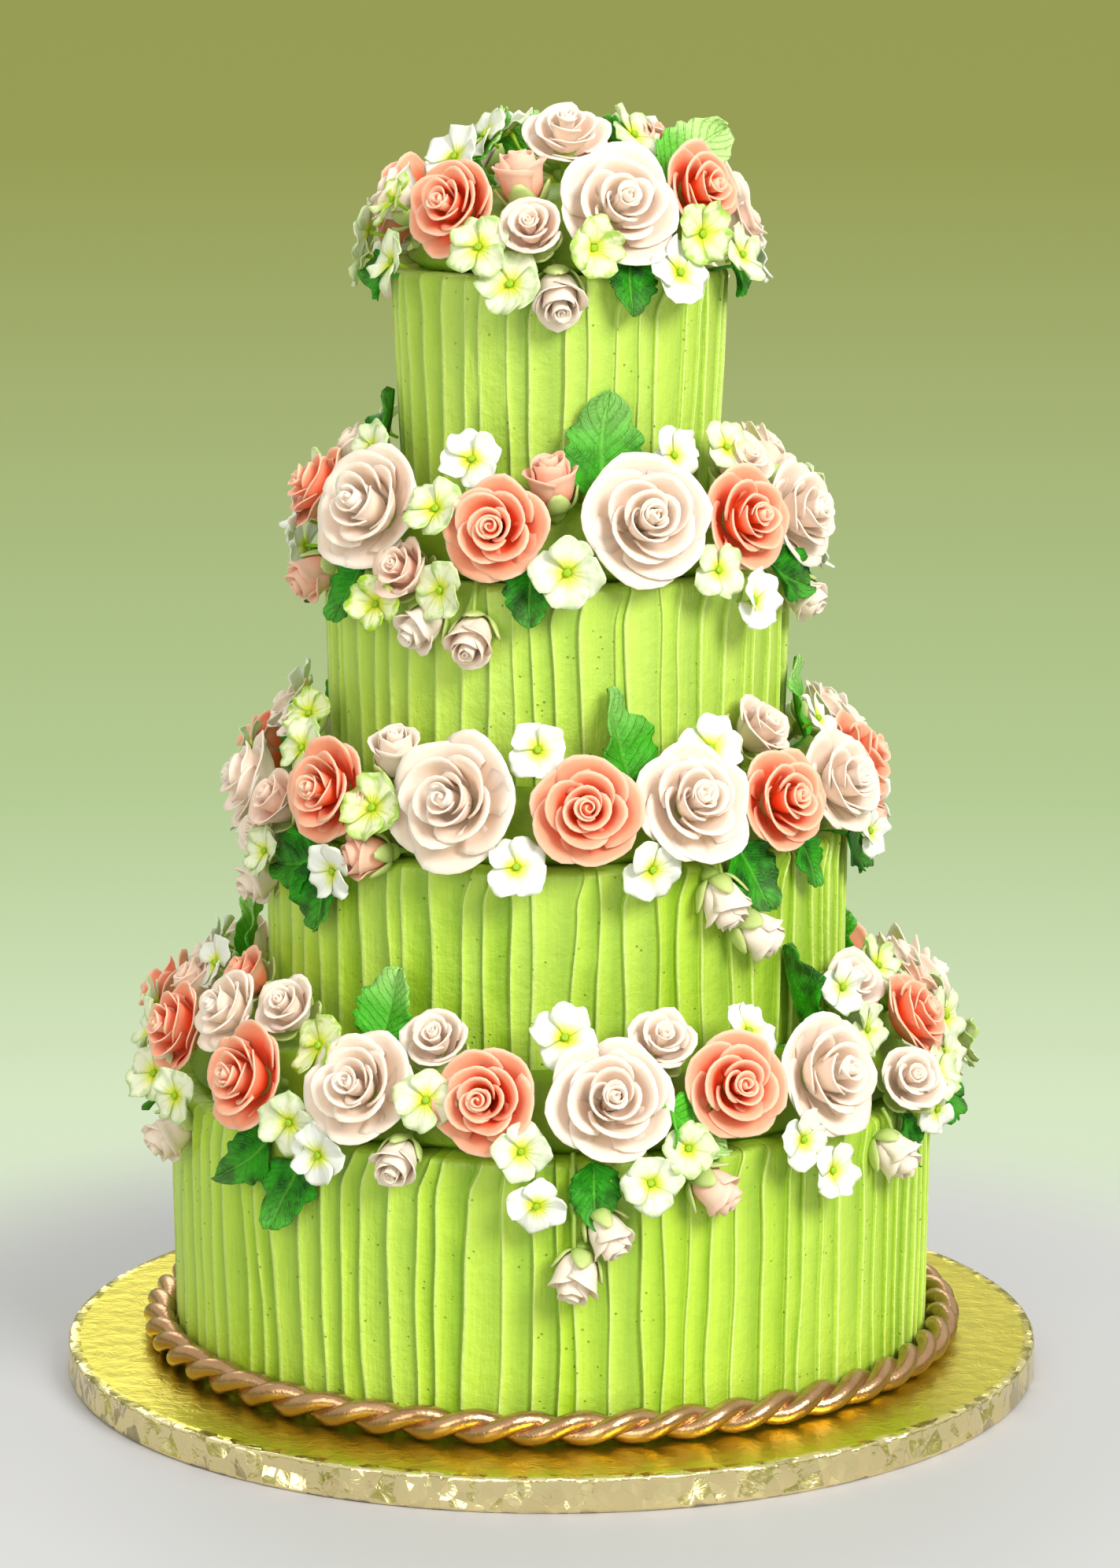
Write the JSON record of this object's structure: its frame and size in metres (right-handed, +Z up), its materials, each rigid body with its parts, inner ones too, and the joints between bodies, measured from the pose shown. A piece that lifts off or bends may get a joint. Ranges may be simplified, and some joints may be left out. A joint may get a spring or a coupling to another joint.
{
  "type": "tiered wedding cake",
  "caption": "Round tiered wedding cake with upright knife-stroke icing, sugar roses and leaves on every ledge, a twisted rope border and a foil drum board.",
  "frame": {"origin": "centre of the board's underside, on the surface that the cake stands on", "axes": "+Z up through the tiers, -Y the front, +X to the right as seen from the front"},
  "size_m": [0.4064, 0.4064, 0.5252],
  "materials": {
    "buttercream": "satin",
    "ivory_sugar": "matte",
    "coral_sugar": "matte",
    "blossom_sugar": "matte",
    "leaf_sugar": "satin",
    "gold_rope": "satin",
    "gold_foil": "polished"
  },
  "bodies": {
    "root": {"board": "gold_foil", "rope_border": "gold_rope", "rose_1_01_coral": "coral_sugar", "rose_1_02_ivory": "ivory_sugar", "rose_1_03_coral": "coral_sugar", "rose_1_04_ivory": "ivory_sugar", "rose_1_05_coral": "coral_sugar", "rose_1_06_ivory": "ivory_sugar", "rose_1_07_coral": "coral_sugar", "rose_1_08_ivory": "ivory_sugar", "rose_1_09_coral": "coral_sugar", "rose_1_10_ivory": "ivory_sugar", "rose_1_11_coral": "coral_sugar", "rose_1_12_ivory": "ivory_sugar", "rose_1_13_coral": "coral_sugar", "rose_1_14_ivory": "ivory_sugar", "rose_1_15_coral": "coral_sugar", "rose_1_16_ivory": "ivory_sugar", "rose_1_17_coral": "coral_sugar", "rose_2_01_ivory": "ivory_sugar", "rose_2_02_coral": "coral_sugar", "rose_2_03_ivory": "ivory_sugar", "rose_2_04_coral": "coral_sugar", "rose_2_05_ivory": "ivory_sugar", "rose_2_06_coral": "coral_sugar", "rose_2_07_ivory": "ivory_sugar", "rose_2_08_coral": "coral_sugar", "rose_2_09_ivory": "ivory_sugar", "rose_2_10_coral": "coral_sugar", "rose_2_11_ivory": "ivory_sugar", "rose_2_12_coral": "coral_sugar", "rose_2_13_ivory": "ivory_sugar", "rose_2_14_coral": "coral_sugar", "rose_3_01_coral": "coral_sugar", "rose_3_02_ivory": "ivory_sugar", "rose_3_03_coral": "coral_sugar", "rose_3_04_ivory": "ivory_sugar", "rose_3_05_coral": "coral_sugar", "rose_3_06_ivory": "ivory_sugar", "rose_3_07_ivory": "ivory_sugar", "rose_3_08_coral": "coral_sugar", "rose_3_09_ivory": "ivory_sugar", "rose_3_10_coral": "coral_sugar", "rose_4_01_coral": "coral_sugar", "rose_4_02_ivory": "ivory_sugar", "rose_4_03_coral": "coral_sugar", "rose_4_04_ivory": "ivory_sugar", "rose_4_05_coral": "coral_sugar", "rose_4_06_ivory": "ivory_sugar", "rose_4_07_coral": "coral_sugar", "rose_4_08_ivory": "ivory_sugar", "spray_1": "blossom_sugar", "spray_2": "blossom_sugar", "spray_3": "blossom_sugar", "spray_4": "blossom_sugar", "tier_1": "buttercream", "tier_2": "buttercream", "tier_3": "buttercream", "tier_4": "buttercream"}
  },
  "joints": []
}
